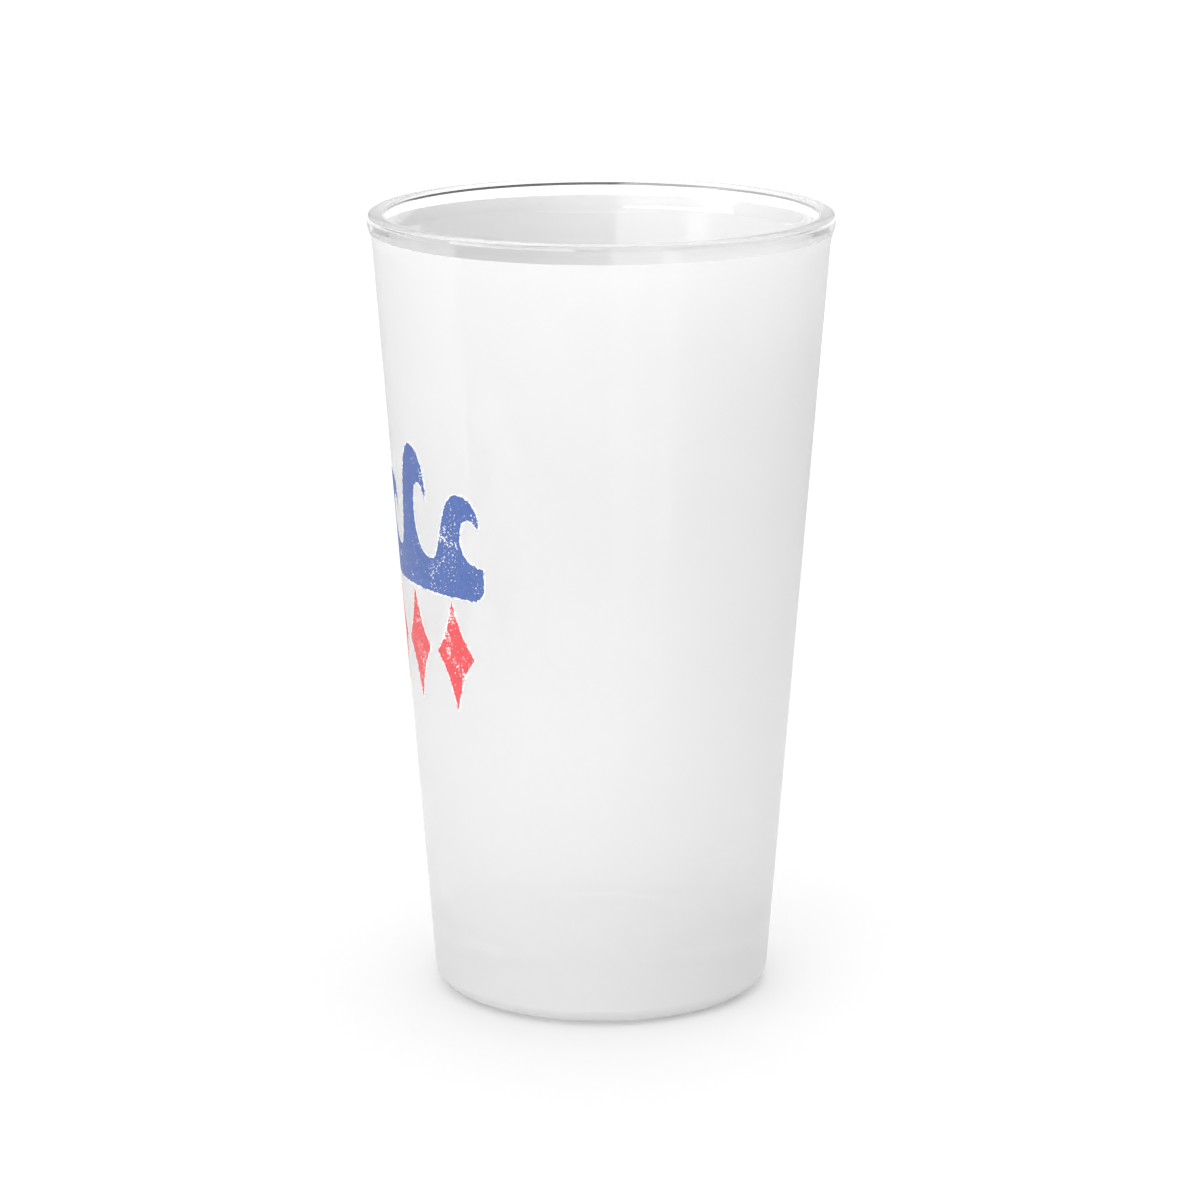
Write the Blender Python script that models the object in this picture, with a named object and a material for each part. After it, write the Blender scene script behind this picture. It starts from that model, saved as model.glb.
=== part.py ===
"""Frosted pint glass with a two-colour printed border of waves and lozenges.

Metres, +Z up. The glass stands on z = 0 with its axis on the Z axis, and the print faces -Y.
Every layer on the glass is its own closed solid: the frosting, and for each printed shape a
white underbase with the coloured ink on it.
"""

import math

import bmesh
import bpy
from mathutils.geometry import tessellate_polygon

MM = 0.001

# Outside of the glass, over its frosting.
HEIGHT = 150.5 * MM
RIM_RADIUS = 44.0 * MM
WALL_RADIUS_AT_FOOT = 32.03 * MM
WALL_RADIUS_AT_TOP = 43.48 * MM

# The lip is half an ellipse, and a soft flare joins it to the wall.
LIP_HALF_WIDTH = 1.63 * MM
LIP_CROWN = 0.71 * MM
LIP_WIDEST = HEIGHT - LIP_CROWN
FLARE_START = 144.6 * MM

# Base of the glass.
HEEL_WIDTH = 5.2 * MM
HEEL_HEIGHT = 3.6 * MM
FOOT_RING_WIDTH = 3.4 * MM
PUSH_UP = 1.6 * MM
PUSH_UP_EDGE = 4.0 * MM
FLOOR_HEIGHT = 12.5 * MM
FLOOR_CROWN = 0.6 * MM
WALL_AT_FLOOR = 3.7 * MM
INNER_FILLET = 8.0 * MM

# Layers on the outside.
LAYER_GAP = 0.1 * MM
COATING_THICKNESS = 0.15 * MM
INK_THICKNESS = 0.1 * MM
COATING_TOP = 147.0 * MM
COATING_BOTTOM = 1.1 * MM
COATED_INSET = LAYER_GAP + COATING_THICKNESS
COLOUR_LIFT = 2 * LAYER_GAP + INK_THICKNESS

# The print, unrolled: widths run round the wall at this radius, and heights are up the axis.
PRINT_RADIUS = 38.5 * MM
PRINT_HALF_WIDTH = 41.5 * MM
BAND_BOTTOM = 82.2 * MM
BAND_TOP = 88.6 * MM
BAND_END_RADIUS = 3.0 * MM
CREST_COUNT = 6
CREST_PITCH = 2 * PRINT_HALF_WIDTH / CREST_COUNT
TALL_CREST = 21.0 * MM
LOW_CREST = 13.5 * MM
LOZENGE_COUNT = 6
LOZENGE_PITCH = 13.2 * MM
LOZENGE_WIDTH = 10.4 * MM
LOZENGE_BOTTOM = 60.2 * MM
LOZENGE_TOP = 81.4 * MM
LOZENGE_WAIST = 0.78
UNDERBASE_MARGIN = 0.35 * MM

# Facets. The print's facets lie on those of the wall.
SEGMENTS = 96
FACET_ANGLE = 2 * math.pi / SEGMENTS
CURVE_STEPS = 6

GLASS = ("clear_glass", (0.93, 0.95, 0.94), 0.03)
COATING = ("frosted_coating", (0.88, 0.89, 0.89), 0.62)
WHITE_INK = ("white_ink", (0.90, 0.90, 0.89), 0.45)
BLUE_INK = ("blue_ink", (0.095, 0.160, 0.420), 0.42)
RED_INK = ("red_ink", (0.860, 0.105, 0.115), 0.42)


def clear_scene():
    for obj in list(bpy.data.objects):
        bpy.data.objects.remove(obj, do_unlink=True)


def material(spec):
    name, colour, roughness = spec
    found = bpy.data.materials.get(name)
    if found:
        return found
    made = bpy.data.materials.new(name)
    made.use_nodes = True
    shader = made.node_tree.nodes["Principled BSDF"]
    shader.inputs["Base Color"].default_value = (*colour, 1.0)
    shader.inputs["Roughness"].default_value = roughness
    shader.inputs["Metallic"].default_value = 0.0
    if made.name.startswith("clear"):
        shader.inputs["IOR"].default_value = 1.52
        shader.inputs["Transmission Weight"].default_value = 1.0
    return made


def add_object(name, bm, spec, crease_degrees=40):
    """Turn a finished bmesh into a smooth-shaded object with one material."""
    bmesh.ops.recalc_face_normals(bm, faces=bm.faces)
    mesh = bpy.data.meshes.new(name)
    bm.to_mesh(mesh)
    bm.free()
    mesh.shade_smooth()
    mesh.set_sharp_from_angle(angle=math.radians(crease_degrees))
    mesh.materials.append(material(spec))
    obj = bpy.data.objects.new(name, mesh)
    bpy.context.scene.collection.objects.link(obj)
    return obj


# Profiles, as (radius, height) points.


def wall_radius(z):
    """Radius of the straight wall, over its frosting."""
    slope = (WALL_RADIUS_AT_TOP - WALL_RADIUS_AT_FOOT) / HEIGHT
    return WALL_RADIUS_AT_FOOT + slope * z


def glass_radius(z):
    """Radius of the bare glass wall under the frosting."""
    return wall_radius(z) - COATED_INSET


def quarter(steps):
    """Sines and cosines through a quarter turn."""
    turns = [math.pi / 2 * i / steps for i in range(steps + 1)]
    return [(math.sin(turn), math.cos(turn)) for turn in turns]


def heel_points():
    """From the foot ring's outer edge up to the straight wall."""
    top = glass_radius(HEEL_HEIGHT)
    return [(top - HEEL_WIDTH * (1 - s), HEEL_HEIGHT * (1 - c)) for s, c in quarter(7)]


def flare_radius(z):
    """Radius of the glass between the straight wall and the lip's widest ring, as one smooth S."""
    t = (z - FLARE_START) / (LIP_WIDEST - FLARE_START)
    ease = t * t * (3 - 2 * t)
    return glass_radius(z) * (1 - ease) + RIM_RADIUS * ease


def flare_points(steps=6):
    heights = [FLARE_START + (LIP_WIDEST - FLARE_START) * i / steps for i in range(steps + 1)]
    return [(flare_radius(z), z) for z in heights]


def lip_points(steps=10):
    """Over the lip, from its widest ring to its inner edge."""
    centre = RIM_RADIUS - LIP_HALF_WIDTH
    turns = [math.pi * i / steps for i in range(1, steps + 1)]
    return [(centre + LIP_HALF_WIDTH * math.cos(a), LIP_WIDEST + LIP_CROWN * math.sin(a)) for a in turns]


def inside_points():
    """From the lip's inner edge down the inner wall, round the fillet and over the floor."""
    mouth = RIM_RADIUS - 2 * LIP_HALF_WIDTH
    corner = glass_radius(FLOOR_HEIGHT) - WALL_AT_FLOOR
    slope = (mouth - corner) / (LIP_WIDEST - FLOOR_HEIGHT)
    lean = math.atan(slope)
    # The fillet's circle touches the floor and the leaning wall.
    centre_z = FLOOR_HEIGHT + INNER_FILLET
    centre_r = corner + slope * INNER_FILLET - INNER_FILLET / math.cos(lean)
    sweep = math.pi / 2 - lean
    points = []
    for i in range(8):
        turn = -lean - sweep * i / 7
        points.append((centre_r + INNER_FILLET * math.cos(turn), centre_z + INNER_FILLET * math.sin(turn)))
    return points + [(centre_r / 2, FLOOR_HEIGHT + FLOOR_CROWN * 0.75), (0.0, FLOOR_HEIGHT + FLOOR_CROWN)]


def underside_points():
    """From the axis out over the push-up to the foot ring's inner edge."""
    ring_outer = heel_points()[0][0]
    ring_inner = ring_outer - FOOT_RING_WIDTH
    edge = [(ring_inner - PUSH_UP_EDGE * (1 - s), PUSH_UP * c) for s, c in quarter(4)]
    return [(0.0, PUSH_UP)] + edge


def lathe(profile, closed_loop):
    """Turn a profile round the Z axis. A point on the axis becomes a pole."""
    bm = bmesh.new()
    rings = []
    for radius, z in profile:
        if radius == 0.0:
            rings.append([bm.verts.new((0.0, 0.0, z))] * SEGMENTS)
            continue
        turns = [FACET_ANGLE * i for i in range(SEGMENTS)]
        rings.append([bm.verts.new((radius * math.sin(a), -radius * math.cos(a), z)) for a in turns])
    pairs = list(zip(rings, rings[1:]))
    if closed_loop:
        pairs.append((rings[-1], rings[0]))
    for low, high in pairs:
        for i in range(SEGMENTS):
            j = (i + 1) % SEGMENTS
            corners = []
            for corner in (low[i], low[j], high[j], high[i]):
                if corner not in corners:
                    corners.append(corner)
            bm.faces.new(corners)
    return bm


def offset_path(points, distance):
    """Move an outer profile, given bottom to top, away from the axis by one distance."""
    moved = []
    for i, (radius, z) in enumerate(points):
        before = points[max(i - 1, 0)]
        after = points[min(i + 1, len(points) - 1)]
        run = (after[0] - before[0], after[1] - before[1])
        length = math.hypot(*run)
        moved.append((radius + distance * run[1] / length, z - distance * run[0] / length))
    return moved


# Outlines of the print, unrolled, as (width, height) points.


def bezier(start, pull_a, pull_b, end):
    """Points along a cubic curve, leaving out its start."""
    points = []
    for i in range(1, CURVE_STEPS + 1):
        t = i / CURVE_STEPS
        weights = ((1 - t) ** 3, 3 * t * (1 - t) ** 2, 3 * t * t * (1 - t), t**3)
        knots = (start, pull_a, pull_b, end)
        points.append(tuple(sum(w * k[axis] for w, k in zip(weights, knots)) for axis in (0, 1)))
    return points


def crest(left, height):
    """One breaking wave, from its left trough over the hooked tip to its right trough."""

    def at(across, up):
        return (left + across * CREST_PITCH, BAND_TOP + up * height)

    back = bezier(at(0, 0), at(0.26, 0.02), at(0.22, 0.86), at(0.56, 1.0))
    tip = bezier(at(0.56, 1.0), at(0.84, 1.02), at(0.98, 0.78), at(0.94, 0.52))
    hollow = bezier(at(0.94, 0.52), at(0.90, 0.70), at(0.66, 0.76), at(0.62, 0.46))
    front = bezier(at(0.62, 0.46), at(0.58, 0.16), at(0.78, 0.0), at(1.0, 0.0))
    return back + tip + hollow + front


def corner_arc(centre, radius, start_degrees):
    turns = [math.radians(start_degrees + 90 * i / CURVE_STEPS) for i in range(CURVE_STEPS + 1)]
    return [(centre[0] + radius * math.cos(a), centre[1] + radius * math.sin(a)) for a in turns]


def wave_outline():
    """The band with its row of crests, anticlockwise from the bottom left."""
    inset = PRINT_HALF_WIDTH - BAND_END_RADIUS
    low = BAND_BOTTOM + BAND_END_RADIUS
    points = corner_arc((-inset, low), BAND_END_RADIUS, 180)
    points += corner_arc((inset, low), BAND_END_RADIUS, 270)
    top = [(-PRINT_HALF_WIDTH, BAND_TOP)]
    for i in range(CREST_COUNT):
        height = LOW_CREST if i % 2 else TALL_CREST
        top += crest(-PRINT_HALF_WIDTH + i * CREST_PITCH, height)
    return points + top[::-1]


def lozenge_outline(centre):
    """A tall diamond with slightly hollow sides."""
    half = LOZENGE_WIDTH / 2
    middle = (LOZENGE_BOTTOM + LOZENGE_TOP) / 2
    tall = (LOZENGE_TOP - LOZENGE_BOTTOM) / 2
    tips = [(half, 0.0), (0.0, tall), (-half, 0.0), (0.0, -tall)]
    points = []
    for start, end in zip(tips, tips[1:] + tips[:1]):
        waist = tuple((a + b) / 2 * LOZENGE_WAIST for a, b in zip(start, end))
        points += bezier(start, waist, waist, end)
    return [(centre + across, middle + up) for across, up in points]


def grown(outline, margin):
    """An anticlockwise outline moved outwards by a margin, with its sharp tips blunted."""
    count = len(outline)
    moved = []
    for i, (x, y) in enumerate(outline):
        normals = []
        for a, b in ((outline[i - 1], (x, y)), ((x, y), outline[(i + 1) % count])):
            length = math.hypot(b[0] - a[0], b[1] - a[1])
            normals.append(((b[1] - a[1]) / length, (a[0] - b[0]) / length))
        nx, ny = (sum(n[axis] for n in normals) for axis in (0, 1))
        size = math.hypot(nx, ny)
        reach = margin * min(2 / max(size, 0.2), 1.6)
        moved.append((x + reach * nx / size, y + reach * ny / size))
    return moved


def on_wall(across, z, lift):
    """A point of the unrolled print on the faceted wall, lifted off the frosting."""
    turn = across / PRINT_RADIUS / FACET_ANGLE
    column = math.floor(turn + 1e-6)
    share = turn - column
    radius = wall_radius(z) + lift
    left, right = column * FACET_ANGLE, (column + 1) * FACET_ANGLE
    x = math.sin(left) * (1 - share) + math.sin(right) * share
    y = -math.cos(left) * (1 - share) - math.cos(right) * share
    return (radius * x, radius * y, z)


def flat_patch(outline):
    """The outline as a flat mesh in X and Z, in millimetres, cut at every facet edge of the wall."""
    bm = bmesh.new()
    corners = [bm.verts.new((across / MM, 0.0, z / MM)) for across, z in outline]
    for a, b, c in tessellate_polygon([[corner.co for corner in corners]]):
        bm.faces.new((corners[a], corners[b], corners[c]))
    column = PRINT_RADIUS * FACET_ANGLE / MM
    reach = math.ceil(max(abs(corner.co.x) for corner in corners) / column)
    for k in range(-reach, reach + 1):
        everything = bm.verts[:] + bm.edges[:] + bm.faces[:]
        cut = (k * column, 0, 0)
        bmesh.ops.bisect_plane(bm, geom=everything, dist=1e-4, plane_co=cut, plane_no=(1, 0, 0))
    bmesh.ops.triangulate(bm, faces=bm.faces)
    return bm


def printed_layer(name, outline, lift, spec):
    """One ink layer: the flat patch bent onto the wall, with an inner skin, an outer skin and an edge."""
    flat = flat_patch(outline)
    flat.verts.index_update()
    solid = bmesh.new()
    spots = [(v.co.x * MM, v.co.z * MM) for v in flat.verts]
    inner = [solid.verts.new(on_wall(*spot, lift)) for spot in spots]
    outer = [solid.verts.new(on_wall(*spot, lift + INK_THICKNESS)) for spot in spots]
    for face in flat.faces:
        corners = [v.index for v in face.verts]
        solid.faces.new([outer[i] for i in corners])
        solid.faces.new([inner[i] for i in reversed(corners)])
    for edge in flat.edges:
        if edge.is_boundary:
            a, b = (v.index for v in edge.verts)
            solid.faces.new((inner[a], inner[b], outer[b], outer[a]))
    flat.free()
    return add_object(name, solid, spec)


def make_glass():
    outer = heel_points() + flare_points() + lip_points()
    profile = underside_points() + outer + inside_points()
    add_object("glass_tumbler", lathe(profile, closed_loop=False), GLASS)


def make_coating():
    covered = [point for point in heel_points() + flare_points() if COATING_BOTTOM < point[1] < COATING_TOP]
    path = covered + [(flare_radius(COATING_TOP), COATING_TOP)]
    inner = offset_path(path, LAYER_GAP)
    outer = offset_path(path, COATED_INSET)
    add_object("frosted_coating", lathe(inner + outer[::-1], closed_loop=True), COATING)


def make_print():
    shapes = [("wave", "", wave_outline(), BLUE_INK)]
    for i in range(LOZENGE_COUNT):
        centre = (i - (LOZENGE_COUNT - 1) / 2) * LOZENGE_PITCH
        shapes.append(("lozenge", f"_{i + 1}", lozenge_outline(centre), RED_INK))
    for shape, number, outline, ink in shapes:
        printed_layer(f"{shape}_underbase{number}", grown(outline, UNDERBASE_MARGIN), LAYER_GAP, WHITE_INK)
        printed_layer(f"{shape}_ink{number}", outline, COLOUR_LIFT, ink)


def main():
    clear_scene()
    make_glass()
    make_coating()
    make_print()


main()
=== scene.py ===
"""Looks of the frosted pint glass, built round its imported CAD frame. Metres, +Z up, print facing -Y."""

import math

import bmesh
import bpy
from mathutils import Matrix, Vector, noise
from mathutils.geometry import tessellate_polygon


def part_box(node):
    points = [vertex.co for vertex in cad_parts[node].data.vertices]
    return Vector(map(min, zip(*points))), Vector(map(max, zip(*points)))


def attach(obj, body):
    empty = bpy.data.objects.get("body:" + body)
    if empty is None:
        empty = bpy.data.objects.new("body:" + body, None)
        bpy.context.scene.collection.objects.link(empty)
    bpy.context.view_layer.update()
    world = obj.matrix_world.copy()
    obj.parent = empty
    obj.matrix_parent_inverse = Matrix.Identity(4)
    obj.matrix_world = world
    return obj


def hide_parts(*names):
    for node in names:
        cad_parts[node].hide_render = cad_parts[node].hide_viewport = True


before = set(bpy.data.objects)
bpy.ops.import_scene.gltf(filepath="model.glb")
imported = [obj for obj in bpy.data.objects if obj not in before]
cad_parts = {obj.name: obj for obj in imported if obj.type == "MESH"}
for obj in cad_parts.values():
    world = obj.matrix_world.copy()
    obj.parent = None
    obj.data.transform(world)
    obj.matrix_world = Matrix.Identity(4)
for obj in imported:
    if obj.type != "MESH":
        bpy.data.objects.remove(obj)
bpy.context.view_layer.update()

MM = 0.001

# Sizes that the frame gives.
GLASS_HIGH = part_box("glass_tumbler")[1]
COATING_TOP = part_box("frosted_coating")[1].z
WAVE_LOW, WAVE_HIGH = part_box("wave_ink")
LOZENGE_LOW, LOZENGE_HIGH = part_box("lozenge_ink_1")
HEIGHT = GLASS_HIGH.z
RIM_RADIUS = GLASS_HIGH.x

# The turned shape, over its frosting, as in the CAD.
WALL_RADIUS_AT_FOOT = 32.03 * MM
WALL_RADIUS_AT_TOP = 43.48 * MM
LIP_HALF_WIDTH = 1.63 * MM
LIP_CROWN = 0.71 * MM
LIP_WIDEST = HEIGHT - LIP_CROWN
LIP_SHOULDER_LEAN = math.radians(14)
LIP_SHOULDER_WIDTH = 0.12 * MM
FLARE_START = 144.6 * MM
FLARE_END = LIP_WIDEST - 0.42 * MM
HEEL_WIDTH = 5.2 * MM
HEEL_HEIGHT = 3.6 * MM
FOOT_RING_WIDTH = 3.4 * MM
PUSH_UP = 1.6 * MM
PUSH_UP_EDGE = 4.0 * MM
FLOOR_HEIGHT = 12.5 * MM
FLOOR_CROWN = 0.6 * MM
WALL_AT_FLOOR = 3.7 * MM
INNER_FILLET = 8.0 * MM
INSIDE_AT_FLARE = 39.6 * MM

# Thin layers, outwards from the glass: frosting, white ink, coloured ink.
HAIR = 0.01 * MM
COATING_THICKNESS = 0.06 * MM
COATING_SINK = 0.03 * MM
INK_SINK = 0.05 * MM
COATING_BOTTOM = 0.25 * MM
INK_THICKNESS = 0.045 * MM
GLASS_INSET = COATING_THICKNESS - COATING_SINK
WHITE_LAYER = (-GLASS_INSET - INK_SINK, HAIR)
COLOUR_LAYER = (2 * HAIR, 2 * HAIR + INK_THICKNESS)

# The print, unrolled at this radius.
PRINT_RADIUS = 38.5 * MM
PRINT_HALF_WIDTH = 41.5 * MM
BAND_BOTTOM = WAVE_LOW.z
BAND_TOP = BAND_BOTTOM + 6.4 * MM
BAND_END_RADIUS = 3.0 * MM
CREST_COUNT = 6
CREST_PITCH = 2 * PRINT_HALF_WIDTH / CREST_COUNT
TALL_CREST = WAVE_HIGH.z - BAND_TOP
LOW_CREST = 13.5 * MM
LOZENGE_COUNT = 6
LOZENGE_PITCH = 13.2 * MM
LOZENGE_WIDTH = 10.4 * MM
LOZENGE_WAIST = 0.78
UNDERBASE_MARGIN = 0.26 * MM
EDGE_STEP = 0.25 * MM
EDGE_GRAIN = 0.4 * MM
EDGE_WOBBLE = 0.3 * MM

# How finely things are cut.
SEGMENTS = 288
FACET_ANGLE = 2 * math.pi / SEGMENTS
CURVE_STEPS = 14
WALL_RINGS = 30
CREASE_ANGLE = math.radians(40)

# The camera.
CAMERA_AZIMUTH = math.radians(95.7)
CAMERA_DISTANCE = 0.7964
CAMERA_HEIGHT = 0.26825
CAMERA_PITCH = math.radians(13.625)
CAMERA_LENS = 128.3
CAMERA_SIDESTEP = -0.24 * MM

FLOOR_RADIUS = 0.5
FLOOR_FADE_START = 0.12
FLOOR_LIGHT = 0.02
FLOOR_LIGHT_SPREAD = math.radians(70)

# The room as the glass sees it. Azimuths are in degrees from the camera's side, to its right.
# Its brightness below, at and above the horizon, and the elevations where those meet:
LOW_ROOM = 0.45
HORIZON = 1.1
HIGH_ROOM = 0.4
HORIZON_SPAN = (-8.28, 2.0)
HORIZON_EDGE = 0.0013
ROOM_EDGE = 0.03
# Backdrops behind the glass: from and to azimuth (0 is straight behind), from and to elevation,
# brightness. The last one is the white table below them.
BACKDROPS = (
    (-6.0, 0.33, -20.5, -8.28, 0.02),
    (0.33, 1.9, -20.5, -8.28, 0.38),
    (1.9, 2.5, -20.5, -8.28, 0.66),
    (2.5, 6.0, -20.5, -8.28, 0.38),
    (-6.0, 6.0, -90.0, -20.5, 1.1),
)
BACKDROP_EDGE = 0.1
# Soft round lights: azimuth, elevation, tightness, strength.
ROOM_LIGHTS = (
    (-90, 10, 6, 0.3),
    (0, 10, 6, 1.31),
    (0, 90, 4, 0.88),
    (90, 45, 6, 0.43),
    (180, 45, 6, 0.92),
)
# Rectangular softboxes: from and to azimuth, from and to elevation, strength.
SOFTBOXES = ((-80, -13, 12, 22, 4.0),)
SOFTBOX_EDGE = 1.5


# Mesh helpers.


def finished(name, bm):
    """Turn a bmesh into a smooth-shaded object."""
    bmesh.ops.recalc_face_normals(bm, faces=bm.faces)
    mesh = bpy.data.meshes.new(name)
    bm.to_mesh(mesh)
    bm.free()
    mesh.shade_smooth()
    mesh.set_sharp_from_angle(angle=CREASE_ANGLE)
    obj = bpy.data.objects.new(name, mesh)
    bpy.context.scene.collection.objects.link(obj)
    return obj


def lathe(profile, closed_loop):
    """Turn a profile of (radius, height) points round the Z axis. Radius 0 makes a centre point."""
    bm = bmesh.new()
    rings = []
    for radius, z in profile:
        if radius == 0.0:
            rings.append([bm.verts.new((0.0, 0.0, z))] * SEGMENTS)
            continue
        turns = [FACET_ANGLE * i for i in range(SEGMENTS)]
        rings.append([bm.verts.new((radius * math.sin(a), -radius * math.cos(a), z)) for a in turns])
    pairs = list(zip(rings, rings[1:]))
    if closed_loop:
        pairs.append((rings[-1], rings[0]))
    for low, high in pairs:
        for i in range(SEGMENTS):
            j = (i + 1) % SEGMENTS
            corners = []
            for corner in (low[i], low[j], high[j], high[i]):
                if corner not in corners:
                    corners.append(corner)
            bm.faces.new(corners)
    return bm


def quarter(steps):
    """Sine and cosine pairs through a quarter turn."""
    turns = [math.pi / 2 * i / steps for i in range(steps + 1)]
    return [(math.sin(turn), math.cos(turn)) for turn in turns]


def spread(low, high, steps):
    """Even steps between two values, without the values themselves."""
    return [low + (high - low) * i / steps for i in range(1, steps)]


# The glass.


def wall_radius(z):
    slope = (WALL_RADIUS_AT_TOP - WALL_RADIUS_AT_FOOT) / HEIGHT
    return WALL_RADIUS_AT_FOOT + slope * z


def glass_radius(z):
    return wall_radius(z) - GLASS_INSET


def flared(z, straight, top):
    """A wall that turns from its straight run out to the top radius, over the flare."""
    t = max(0.0, (z - FLARE_START) / (FLARE_END - FLARE_START))
    ease = t * t * (3 - 2 * t)
    return straight * (1 - ease) + top * ease


def flare_radius(z):
    return flared(z, glass_radius(z), RIM_RADIUS)


def flare_heights(steps=18):
    return [FLARE_START + (FLARE_END - FLARE_START) * i / steps for i in range(steps + 1)]


def outer_points():
    """The glass's outside, from the foot ring's outer edge up to the lip's widest ring."""
    top = glass_radius(HEEL_HEIGHT)
    heel = [(top - HEEL_WIDTH * (1 - s), HEEL_HEIGHT * (1 - c)) for s, c in quarter(20)]
    wall = [(glass_radius(z), z) for z in spread(HEEL_HEIGHT, FLARE_START, WALL_RINGS)]
    return heel + wall + [(flare_radius(z), z) for z in flare_heights()]


def lip_points(steps=28):
    """Over the lip: a leaning shoulder above the widest ring, then a flat oval crown to the inner edge."""
    centre = RIM_RADIUS - LIP_HALF_WIDTH
    width = LIP_HALF_WIDTH - LIP_SHOULDER_WIDTH
    start = math.atan(math.tan(LIP_SHOULDER_LEAN) * LIP_CROWN / width)
    points = []
    for i in range(steps + 1):
        turn = start + (math.pi - start) * i / steps
        reach = width if turn < math.pi / 2 else LIP_HALF_WIDTH
        points.append((centre + reach * math.cos(turn), LIP_WIDEST + LIP_CROWN * math.sin(turn)))
    run = RIM_RADIUS - points[0][0]
    rise = points[0][1] - FLARE_END
    shoulder = [(RIM_RADIUS - run * t, FLARE_END + rise * t) for t in (0.15, 0.5, 0.85)]
    return shoulder + points


def inside_points():
    """From the lip's inner edge down the inner wall, round the fillet and over the floor."""
    mouth = RIM_RADIUS - 2 * LIP_HALF_WIDTH
    corner = glass_radius(FLOOR_HEIGHT) - WALL_AT_FLOOR
    slope = (INSIDE_AT_FLARE - corner) / (FLARE_START - FLOOR_HEIGHT)
    lean = math.atan(slope)
    centre_z = FLOOR_HEIGHT + INNER_FILLET
    centre_r = corner + slope * INNER_FILLET - INNER_FILLET / math.cos(lean)
    steps = 20
    turns = [-lean - (math.pi / 2 - lean) * i / steps for i in range(steps + 1)]
    fillet = [(centre_r + INNER_FILLET * math.cos(a), centre_z + INNER_FILLET * math.sin(a)) for a in turns]
    heights = flare_heights()[-2::-1] + spread(FLARE_START, fillet[0][1], WALL_RINGS)
    wall = [(flared(z, corner + slope * (z - FLOOR_HEIGHT), mouth), z) for z in heights]
    floor = []
    for share in (0.9, 0.75, 0.6, 0.45, 0.3, 0.15, 0.0):
        floor.append((centre_r * share, FLOOR_HEIGHT + FLOOR_CROWN * (1 - share * share)))
    return wall + fillet + floor


def underside_points():
    ring_outer = outer_points()[0][0]
    ring_inner = ring_outer - FOOT_RING_WIDTH
    edge = [(ring_inner - PUSH_UP_EDGE * (1 - s), PUSH_UP * c) for s, c in quarter(12)]
    return [(0.0, PUSH_UP), (edge[0][0] / 2, PUSH_UP)] + edge


def make_glass():
    profile = underside_points() + outer_points() + lip_points() + inside_points()
    return finished("glass_body", lathe(profile, closed_loop=False))


# The frosting.


def offset_path(points, distance):
    moved = []
    for i, (radius, z) in enumerate(points):
        before = points[max(i - 1, 0)]
        after = points[min(i + 1, len(points) - 1)]
        run = (after[0] - before[0], after[1] - before[1])
        length = math.hypot(*run)
        moved.append((radius + distance * run[1] / length, z - distance * run[0] / length))
    return moved


def make_frosting():
    covered = [point for point in outer_points() if COATING_BOTTOM < point[1] < COATING_TOP]
    path = covered + [(flare_radius(COATING_TOP), COATING_TOP)]
    inner = offset_path(path, -COATING_SINK)
    outer = offset_path(path, COATING_THICKNESS - COATING_SINK)
    return finished("frosting", lathe(inner + outer[::-1], closed_loop=True))


# The print.


def bezier(start, pull_a, pull_b, end):
    points = []
    for i in range(1, CURVE_STEPS + 1):
        t = i / CURVE_STEPS
        weights = ((1 - t) ** 3, 3 * t * (1 - t) ** 2, 3 * t * t * (1 - t), t**3)
        knots = (start, pull_a, pull_b, end)
        points.append(tuple(sum(w * k[axis] for w, k in zip(weights, knots)) for axis in (0, 1)))
    return points


def crest(left, height):
    """One breaking wave, from its left trough over the hooked tip to its right trough."""

    def at(across, up):
        return (left + across * CREST_PITCH, BAND_TOP + up * height)

    back = bezier(at(0, 0), at(0.26, 0.02), at(0.22, 0.86), at(0.56, 1.0))
    tip = bezier(at(0.56, 1.0), at(0.84, 1.02), at(0.98, 0.78), at(0.94, 0.52))
    hollow = bezier(at(0.94, 0.52), at(0.90, 0.70), at(0.66, 0.76), at(0.62, 0.46))
    front = bezier(at(0.62, 0.46), at(0.58, 0.16), at(0.78, 0.0), at(1.0, 0.0))
    return back + tip + hollow + front


def corner_arc(centre, radius, start_degrees):
    turns = [math.radians(start_degrees + 90 * i / CURVE_STEPS) for i in range(CURVE_STEPS + 1)]
    return [(centre[0] + radius * math.cos(a), centre[1] + radius * math.sin(a)) for a in turns]


def wave_outline():
    """The band with its row of crests, anticlockwise from the bottom left."""
    inset = PRINT_HALF_WIDTH - BAND_END_RADIUS
    low = BAND_BOTTOM + BAND_END_RADIUS
    points = corner_arc((-inset, low), BAND_END_RADIUS, 180)
    points += corner_arc((inset, low), BAND_END_RADIUS, 270)
    top = [(-PRINT_HALF_WIDTH, BAND_TOP)]
    for i in range(CREST_COUNT):
        height = LOW_CREST if i % 2 else TALL_CREST
        top += crest(-PRINT_HALF_WIDTH + i * CREST_PITCH, height)
    return points + top[::-1]


def lozenge_outline(centre):
    """A tall diamond with slightly hollow sides."""
    half = LOZENGE_WIDTH / 2
    middle = (LOZENGE_LOW.z + LOZENGE_HIGH.z) / 2
    tall = (LOZENGE_HIGH.z - LOZENGE_LOW.z) / 2
    tips = [(half, 0.0), (0.0, tall), (-half, 0.0), (0.0, -tall)]
    points = []
    for start, end in zip(tips, tips[1:] + tips[:1]):
        waist = tuple((a + b) / 2 * LOZENGE_WAIST for a, b in zip(start, end))
        points += bezier(start, waist, waist, end)
    return [(centre + across, middle + up) for across, up in points]


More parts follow.
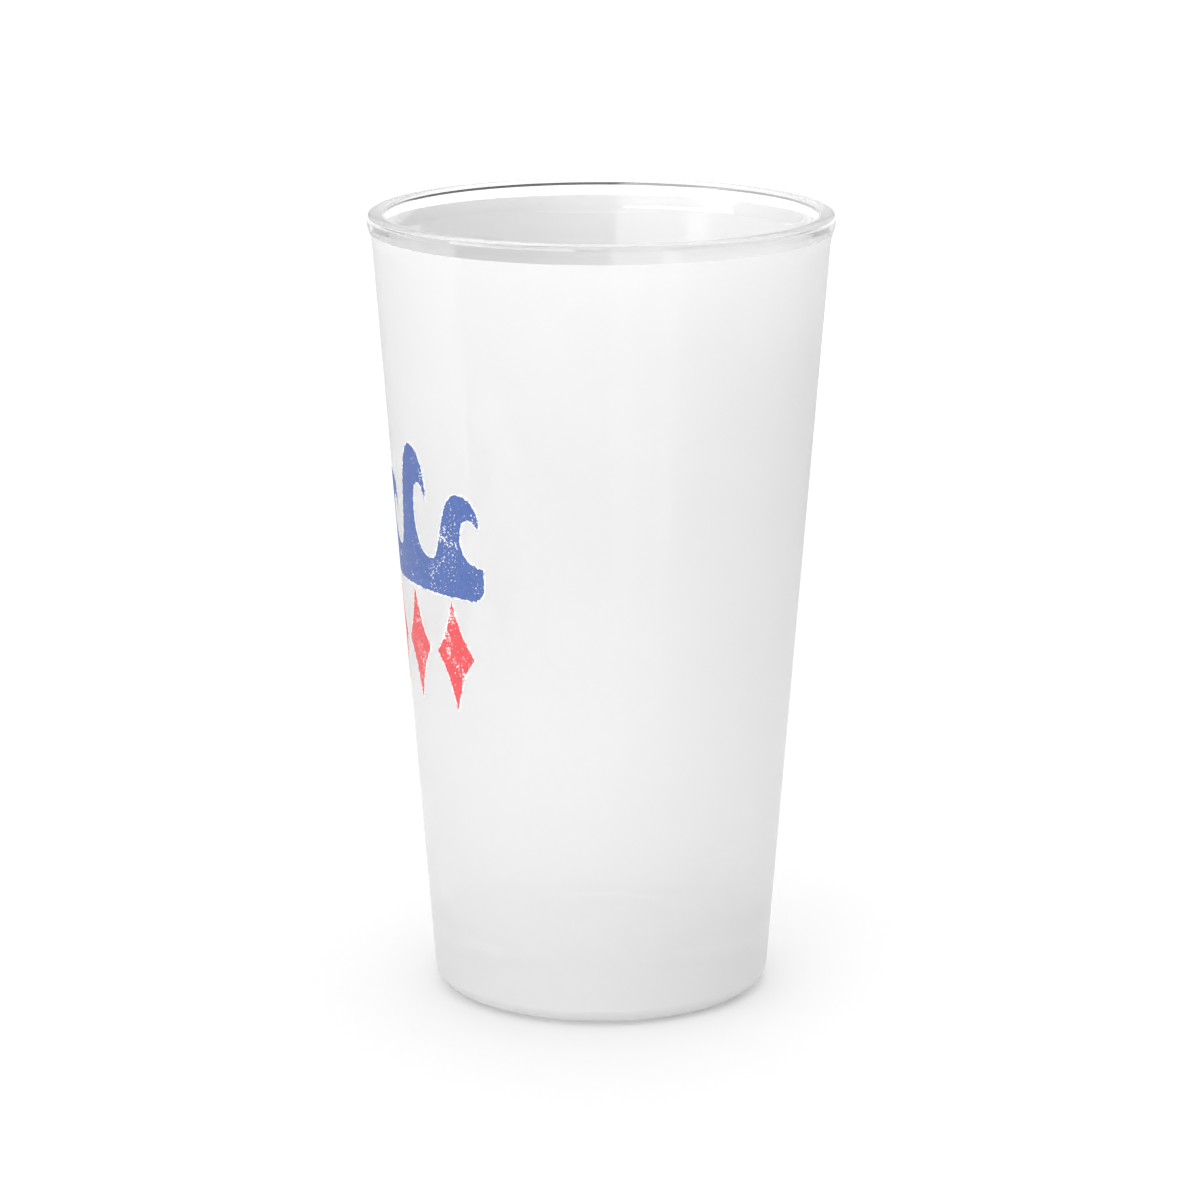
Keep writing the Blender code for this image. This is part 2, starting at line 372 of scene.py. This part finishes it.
def grown(outline, margin):
    """An anticlockwise outline moved outwards by a margin, with its sharp tips blunted."""
    count = len(outline)
    moved = []
    for i, (x, y) in enumerate(outline):
        normals = []
        for a, b in ((outline[i - 1], (x, y)), ((x, y), outline[(i + 1) % count])):
            length = math.hypot(b[0] - a[0], b[1] - a[1])
            normals.append(((b[1] - a[1]) / length, (a[0] - b[0]) / length))
        nx, ny = (sum(n[axis] for n in normals) for axis in (0, 1))
        size = math.hypot(nx, ny)
        reach = margin * min(2 / max(size, 0.2), 1.6)
        moved.append((x + reach * nx / size, y + reach * ny / size))
    return moved


def ragged(outline, layer):
    """The outline with the fine, uneven edge of a worn print."""
    points = []
    for a, b in zip(outline, outline[1:] + outline[:1]):
        count = max(1, round(math.dist(a, b) / EDGE_STEP))
        points += [(a[0] + (b[0] - a[0]) * i / count, a[1] + (b[1] - a[1]) * i / count) for i in range(count)]

    def wobble(x, z, side):
        return EDGE_WOBBLE * noise.noise(Vector((x / EDGE_GRAIN, z / EDGE_GRAIN, 7.3 * layer + 3.1 * side)))

    return [(x + wobble(x, z, 1), z + wobble(x, z, 2)) for x, z in points]


def on_wall(across, z, lift):
    """A point of the unrolled print on the wall, on the same facets as the frosting."""
    turn = across / PRINT_RADIUS / FACET_ANGLE
    column = math.floor(turn + 1e-6)
    share = turn - column
    radius = wall_radius(z) + lift
    left, right = column * FACET_ANGLE, (column + 1) * FACET_ANGLE
    x = math.sin(left) * (1 - share) + math.sin(right) * share
    y = -math.cos(left) * (1 - share) - math.cos(right) * share
    return (radius * x, radius * y, z)


def flat_patch(outline):
    """The outline as a flat mesh in X and Z, in millimetres, cut at every facet edge of the wall."""
    bm = bmesh.new()
    corners = [bm.verts.new((across / MM, 0.0, z / MM)) for across, z in outline]
    for a, b, c in tessellate_polygon([[corner.co for corner in corners]]):
        bm.faces.new((corners[a], corners[b], corners[c]))
    column = PRINT_RADIUS * FACET_ANGLE / MM
    spans = [corner.co.x / column for corner in corners]
    for k in range(math.floor(min(spans)), math.ceil(max(spans)) + 1):
        everything = bm.verts[:] + bm.edges[:] + bm.faces[:]
        cut = (k * column, 0, 0)
        bmesh.ops.bisect_plane(bm, geom=everything, dist=1e-4, plane_co=cut, plane_no=(1, 0, 0))
    bmesh.ops.triangulate(bm, faces=bm.faces)
    return bm


def printed_layer(name, outline, layer):
    """One ink layer: the flat patch bent onto the wall, with an inner skin, an outer skin and an edge."""
    flat = flat_patch(outline)
    flat.verts.index_update()
    solid = bmesh.new()
    spots = [(v.co.x * MM, v.co.z * MM) for v in flat.verts]
    inner, outer = ([solid.verts.new(on_wall(*spot, lift)) for spot in spots] for lift in layer)
    for face in flat.faces:
        corners = [v.index for v in face.verts]
        solid.faces.new([outer[i] for i in corners])
        solid.faces.new([inner[i] for i in reversed(corners)])
    for edge in flat.edges:
        if edge.is_boundary:
            a, b = (v.index for v in edge.verts)
            solid.faces.new((inner[a], inner[b], outer[b], outer[a]))
    flat.free()
    return finished(name, solid)


# Materials.

BLUE = (0.085, 0.145, 0.39, 1.0)
RED = (0.74, 0.085, 0.095, 1.0)
WORN_WHITE = (0.92, 0.92, 0.92, 1.0)


class Nodes:
    """Short calls for building the node tree of one material or world."""

    def __init__(self, owner):
        self.owner = owner
        owner.use_nodes = True
        self.tree = owner.node_tree
        self.tree.nodes.clear()
        kind = "World" if isinstance(owner, bpy.types.World) else "Material"
        self.out = self.tree.nodes.new("ShaderNodeOutput" + kind)

    def add(self, kind, settings=None, **values):
        """A node with its inputs set. A value that is a socket is linked."""
        node = self.tree.nodes.new(kind)
        for key, value in (settings or {}).items():
            setattr(node, key, value)
        for key, value in values.items():
            socket = node.inputs[int(key)] if key.isdigit() else node.inputs[key.replace("_", " ")]
            self.plug(socket, value)
        return node

    def plug(self, socket, value):
        if isinstance(value, bpy.types.NodeSocket):
            self.tree.links.new(value, socket)
        else:
            socket.default_value = value

    def maths(self, operation, a, b=0.0):
        node = self.tree.nodes.new("ShaderNodeMath")
        node.operation = operation
        self.plug(node.inputs[0], a)
        self.plug(node.inputs[1], b)
        return node.outputs[0]

    def ramp(self, value, low, high, to_low=0.0, to_high=1.0):
        node = self.tree.nodes.new("ShaderNodeMapRange")
        node.interpolation_type = "SMOOTHSTEP"
        ends = {"From Min": low, "From Max": high, "To Min": to_low, "To Max": to_high}
        for name, setting in ends.items():
            node.inputs[name].default_value = setting
        self.plug(node.inputs["Value"], value)
        return node.outputs["Result"]

    def noise(self, scale, detail=2.0, roughness=0.5):
        node = self.add("ShaderNodeTexNoise", Scale=scale, Detail=detail, Roughness=roughness)
        self.plug(node.inputs["Vector"], self.place())
        return node.outputs[0]

    def place(self):
        return self.tree.nodes.new("ShaderNodeTexCoord").outputs["Object"]

    def mix_colour(self, share, a, b):
        node = self.tree.nodes.new("ShaderNodeMix")
        node.data_type = "RGBA"
        self.plug(node.inputs[0], share)
        self.plug(node.inputs[6], a)
        self.plug(node.inputs[7], b)
        return node.outputs[2]

    def mix_shader(self, share, a, b):
        node = self.tree.nodes.new("ShaderNodeMixShader")
        self.plug(node.inputs[0], share)
        self.tree.links.new(a, node.inputs[1])
        self.tree.links.new(b, node.inputs[2])
        return node.outputs[0]

    def bump(self, height, strength, distance):
        node = self.add("ShaderNodeBump", Strength=strength, Distance=distance)
        self.tree.links.new(height, node.inputs["Height"])
        return node.outputs[0]

    def finish(self, surface, volume=None):
        self.tree.links.new(surface, self.out.inputs["Surface"])
        if volume is not None:
            self.tree.links.new(volume, self.out.inputs["Volume"])
        return self.owner


def clear_glass():
    """Fire-polished soda-lime glass: clear, faintly tinted where thick, with a barely wavy surface."""
    n = Nodes(bpy.data.materials.new("clear_glass"))
    wave = n.noise(60.0, detail=1.0)
    glass = n.add(
        "ShaderNodeBsdfPrincipled",
        Base_Color=(1.0, 1.0, 1.0, 1.0),
        Roughness=0.0,
        IOR=1.5,
        Transmission_Weight=1.0,
        Normal=n.bump(wave, 0.05, 0.0004),
    )
    path = n.tree.nodes.new("ShaderNodeLightPath")
    clear = n.add("ShaderNodeBsdfTransparent", Color=(0.975, 0.975, 0.975, 1.0))
    surface = n.mix_shader(path.outputs["Is Shadow Ray"], glass.outputs[0], clear.outputs[0])
    absorb = n.add("ShaderNodeVolumeAbsorption", Color=(0.36, 0.39, 0.38, 1.0), Density=6.0)
    return n.finish(surface, absorb.outputs[0])


def frosted_coating():
    """Matt white frosting: a fine grain that scatters most light and lets a little through unbent."""
    n = Nodes(bpy.data.materials.new("frosted_coating"))
    grain = n.noise(9000.0, detail=2.0)
    cloud = n.noise(45.0, detail=3.0)
    shade = n.ramp(cloud, 0.3, 0.7, 0.895, 0.905)
    colour = n.add("ShaderNodeCombineColor", Red=shade, Green=shade, Blue=shade).outputs[0]
    normal = n.bump(grain, 0.25, 0.00003)
    skin = n.add(
        "ShaderNodeBsdfPrincipled",
        Base_Color=colour,
        Roughness=0.55,
        IOR=1.45,
        Normal=normal,
    )
    through = n.add("ShaderNodeBsdfTranslucent", Color=colour, Normal=normal)
    body = n.mix_shader(0.2, skin.outputs[0], through.outputs[0])
    clear = n.add("ShaderNodeBsdfTransparent", Color=(1.0, 1.0, 1.0, 1.0))
    return n.finish(n.mix_shader(0.53, body, clear.outputs[0]))


def white_ink():
    """Opaque white, a little uneven, with a fine grain."""
    n = Nodes(bpy.data.materials.new("white_ink"))
    patch = n.noise(300.0, detail=3.0)
    shade = n.ramp(patch, 0.3, 0.7, 0.96, 0.98)
    colour = n.add("ShaderNodeCombineColor", Red=shade, Green=shade, Blue=shade).outputs[0]
    fine = n.noise(4000.0)
    skin = n.add(
        "ShaderNodeBsdfPrincipled",
        Base_Color=colour,
        Roughness=0.45,
        IOR=1.45,
        Normal=n.bump(fine, 0.2, 0.00003),
    )
    return n.finish(skin.outputs[0])


def coloured_ink(name, colour, wear):
    """Printed ink, worn through to the white below it in clustered specks and crumbs."""
    n = Nodes(bpy.data.materials.new(name))
    cluster = n.noise(210.0, detail=3.0, roughness=0.6)
    crumble = n.noise(1500.0, detail=3.0, roughness=0.7)

    def specks(scale, fewest, most):
        cells = n.add("ShaderNodeTexVoronoi", {"feature": "F1"}, Scale=scale, Vector=n.place())
        reach = n.ramp(cluster, 0.50 - wear, 0.68 - wear, fewest, most)
        return n.maths("LESS_THAN", cells.outputs["Distance"], reach)

    crumbs = n.maths("GREATER_THAN", crumble, n.ramp(cluster, 0.46 - wear, 0.66 - wear, 0.80, 0.62))
    dots = n.maths("MAXIMUM", specks(950.0, 0.09, 0.27), specks(2100.0, 0.10, 0.34))
    worn = n.maths("MAXIMUM", dots, crumbs)
    tone = n.ramp(n.noise(700.0, detail=3.0), 0.25, 0.75, 0.92, 1.08)
    scale = {"operation": "SCALE"}
    varied = n.add("ShaderNodeVectorMath", scale, Vector=colour[:3], Scale=tone).outputs[0]
    shown = n.mix_colour(worn, varied, WORN_WHITE)
    height = n.maths("SUBTRACT", n.maths("MULTIPLY", crumble, 0.15), worn)
    skin = n.add(
        "ShaderNodeBsdfPrincipled",
        Base_Color=shown,
        Roughness=n.ramp(crumble, 0.3, 0.7, 0.38, 0.5),
        IOR=1.4,
        Normal=n.bump(height, 0.25, 0.00004),
    )
    return n.finish(skin.outputs[0])


# Pieces.


def place_piece(obj, material, slot, *nodes):
    obj.data.materials.append(material)
    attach(obj, "root")
    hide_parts(*nodes)


def make_print():
    white = white_ink()
    blue = coloured_ink("blue_ink", BLUE, 0.0)
    red = coloured_ink("red_ink", RED, 0.05)
    shapes = [("wave", "", wave_outline(), blue, "blue_ink")]
    for i in range(LOZENGE_COUNT):
        centre = (i - (LOZENGE_COUNT - 1) / 2) * LOZENGE_PITCH
        shapes.append(("lozenge", f"_{i + 1}", lozenge_outline(centre), red, "red_ink"))
    for shape, number, outline, ink, slot in shapes:
        wide = ragged(grown(outline, UNDERBASE_MARGIN), 1)
        base = printed_layer(f"{shape}_white{number}", wide, WHITE_LAYER)
        place_piece(base, white, "white_ink", f"{shape}_underbase{number}")
        colour = printed_layer(f"{shape}_colour{number}", ragged(outline, 2), COLOUR_LAYER)
        place_piece(colour, ink, slot, f"{shape}_ink{number}")


# The studio.


def make_camera():
    data = bpy.data.cameras.new("camera")
    data.sensor_width = 36.0
    data.lens = CAMERA_LENS
    data.clip_start = 0.05
    data.clip_end = 20.0
    camera = bpy.data.objects.new("camera", data)
    sin, cos = math.sin(CAMERA_AZIMUTH), math.cos(CAMERA_AZIMUTH)
    camera.location = Vector((CAMERA_DISTANCE * sin, -CAMERA_DISTANCE * cos, CAMERA_HEIGHT))
    camera.location += Vector((cos, sin, 0.0)) * CAMERA_SIDESTEP
    camera.rotation_euler = (math.pi / 2 - CAMERA_PITCH, 0.0, CAMERA_AZIMUTH)
    bpy.context.scene.collection.objects.link(camera)
    bpy.context.scene.camera = camera


def make_floor():
    """A white disc that fades out at its rim into the white surroundings."""
    bm = bmesh.new()
    bmesh.ops.create_circle(bm, cap_ends=True, segments=128, radius=FLOOR_RADIUS)
    floor = finished("floor", bm)
    n = Nodes(bpy.data.materials.new("white_floor"))
    paper = n.add("ShaderNodeBsdfDiffuse", Color=(0.9, 0.9, 0.9, 1.0))
    reach = n.add("ShaderNodeVectorMath", {"operation": "LENGTH"}, Vector=n.place()).outputs["Value"]
    fade = n.ramp(reach, FLOOR_FADE_START, FLOOR_RADIUS)
    beyond = n.add("ShaderNodeBsdfTransparent", Color=(1.0, 1.0, 1.0, 1.0))
    floor.data.materials.append(n.finish(n.mix_shader(fade, paper.outputs[0], beyond.outputs[0])))
    return floor


def light_floor(floor):
    """A broad soft light from overhead that only the floor receives, so that the glass shadows it."""
    data = bpy.data.lights.new("floor_light", "SUN")
    data.angle = FLOOR_LIGHT_SPREAD
    data.energy = FLOOR_LIGHT
    light = bpy.data.objects.new("floor_light", data)
    bpy.context.scene.collection.objects.link(light)
    receivers = bpy.data.collections.new("floor_light_receivers")
    receivers.objects.link(floor)
    light.light_linking.receiver_collection = receivers


def towards(azimuth, elevation):
    """A direction in the room, its azimuth measured from the camera's side towards the camera's right."""
    a, e = math.radians(azimuth), math.radians(elevation)
    front = Vector((math.sin(CAMERA_AZIMUTH), -math.cos(CAMERA_AZIMUTH), 0.0))
    right = Vector((math.cos(CAMERA_AZIMUTH), math.sin(CAMERA_AZIMUTH), 0.0))
    level = front * math.cos(a) + right * math.sin(a)
    return level * math.cos(e) + Vector((0.0, 0.0, math.sin(e)))


def make_world():
    """White as the camera sees it; as the glass sees it, a dim room with soft lights and backdrops."""
    world = bpy.data.worlds.new("studio")
    bpy.context.scene.world = world
    n = Nodes(world)
    gaze = n.add("ShaderNodeTexCoord").outputs["Generated"]
    height = n.add("ShaderNodeSeparateXYZ", Vector=gaze).outputs["Z"]

    def along(direction):
        node = n.add("ShaderNodeVectorMath", {"operation": "DOT_PRODUCT"})
        n.plug(node.inputs[0], gaze)
        n.plug(node.inputs[1], tuple(direction))
        return node.outputs["Value"]

    def azimuth_from(centre):
        turn = n.maths("ARCTAN2", along(towards(centre + 90, 0)), along(towards(centre, 0)))
        return n.maths("MULTIPLY", turn, 180 / math.pi)

    def window(value, low, high, edge):
        rise = n.ramp(value, low - edge, low + edge)
        return n.maths("MULTIPLY", rise, n.ramp(value, high - edge, high + edge, 1.0, 0.0))

    below, above = (math.sin(math.radians(e)) for e in HORIZON_SPAN)
    total = n.ramp(height, below - HORIZON_EDGE, below + HORIZON_EDGE, LOW_ROOM, HORIZON)
    change = n.ramp(height, above - ROOM_EDGE, above + ROOM_EDGE, 0.0, HIGH_ROOM - HORIZON)
    total = n.maths("ADD", total, change)

    behind = n.maths("MULTIPLY", azimuth_from(180), -1.0)
    for low, high, bottom, top, brightness in BACKDROPS:
        ends = (math.sin(math.radians(e)) for e in (bottom, top))
        rows = window(height, *ends, HORIZON_EDGE)
        mask = n.maths("MULTIPLY", window(behind, low, high, BACKDROP_EDGE), rows)
        total = n.maths("ADD", total, n.maths("MULTIPLY", mask, brightness - LOW_ROOM))

    for azimuth, elevation, tightness, strength in ROOM_LIGHTS:
        away = n.maths("SUBTRACT", along(towards(azimuth, elevation)), 1.0)
        falloff = n.maths("EXPONENT", n.maths("MULTIPLY", away, tightness))
        total = n.maths("ADD", total, n.maths("MULTIPLY", falloff, strength))

    ahead = azimuth_from(0)
    for low, high, bottom, top, strength in SOFTBOXES:
        ends = (math.sin(math.radians(e)) for e in (bottom, top))
        rows = window(height, *ends, ROOM_EDGE)
        mask = n.maths("MULTIPLY", window(ahead, low, high, SOFTBOX_EDGE), rows)
        total = n.maths("ADD", total, n.maths("MULTIPLY", mask, strength))

    room = n.add("ShaderNodeBackground", Color=(1.0, 1.0, 1.0, 1.0), Strength=total)
    seen = n.add("ShaderNodeBackground", Color=(1.0, 1.0, 1.0, 1.0), Strength=1.1)
    path = n.add("ShaderNodeLightPath")
    n.finish(n.mix_shader(path.outputs["Is Camera Ray"], room.outputs[0], seen.outputs[0]))


def make_studio():
    make_camera()
    light_floor(make_floor())
    make_world()
    scene = bpy.context.scene
    scene.view_settings.view_transform = "Standard"
    scene.cycles.max_bounces = 24
    scene.cycles.diffuse_bounces = 8
    scene.cycles.glossy_bounces = 8
    scene.cycles.transmission_bounces = 16
    scene.cycles.transparent_max_bounces = 32


def main():
    place_piece(make_glass(), clear_glass(), "clear_glass", "glass_tumbler")
    place_piece(make_frosting(), frosted_coating(), "frosted_coating", "frosted_coating")
    make_print()
    make_studio()


main()
